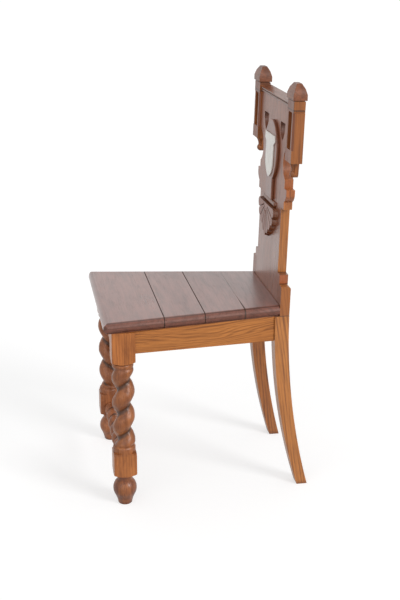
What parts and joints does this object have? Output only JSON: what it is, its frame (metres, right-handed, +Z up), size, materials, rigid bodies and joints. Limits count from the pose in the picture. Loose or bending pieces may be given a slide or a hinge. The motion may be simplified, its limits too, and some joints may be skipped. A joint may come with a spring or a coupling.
{
  "type": "hall chair",
  "caption": "Oak hall chair: solid moulded seat, spiral-turned front legs and stretcher, sabre back legs, and a shaped pierced plank back with posts, carved leaf and a bare shield.",
  "frame": {"origin": "On the floor, in the middle of the chair's bounding box.", "axes": "+Z up; the chair faces -Y, so a sitter looks along -Y; +X is the sitter's left."},
  "size_m": [0.409, 0.484, 0.9543],
  "materials": {
    "oak_turned": "waxed oak, turned",
    "oak_frame": "waxed oak",
    "oak_seat": "polished oak, worn smooth",
    "oak_back": "polished oak",
    "oak_posts": "waxed oak",
    "oak_plain": "unpolished oak out of sight",
    "shield_paint": "cream paint, bare field",
    "steel": "plain wood screws"
  },
  "bodies": {
    "root": {"back_dowels": "oak_plain", "back_leg_left": "oak_frame", "back_leg_right": "oak_frame", "back_plank": "oak_back", "back_rail": "oak_frame", "cartouche": "oak_back", "cleat_screws": "steel", "crest_rail": "oak_back", "front_cleat": "oak_plain", "front_leg_left": "oak_turned", "front_leg_right": "oak_turned", "front_rail": "oak_frame", "front_stretcher": "oak_turned", "leaf_drop": "oak_back", "post_cap_left": "oak_posts", "post_cap_right": "oak_posts", "post_drop_left": "oak_posts", "post_drop_right": "oak_posts", "post_left": "oak_posts", "post_right": "oak_posts", "roll_collar": "oak_back", "seat_board_1": "oak_seat", "seat_board_2": "oak_seat", "seat_board_3": "oak_seat", "seat_board_4": "oak_seat", "seat_tongue_1": "oak_plain", "seat_tongue_2": "oak_plain", "seat_tongue_3": "oak_plain", "shield": "shield_paint", "side_cleat_left": "oak_plain", "side_cleat_right": "oak_plain", "side_rail_left": "oak_frame", "side_rail_right": "oak_frame"}
  },
  "joints": []
}
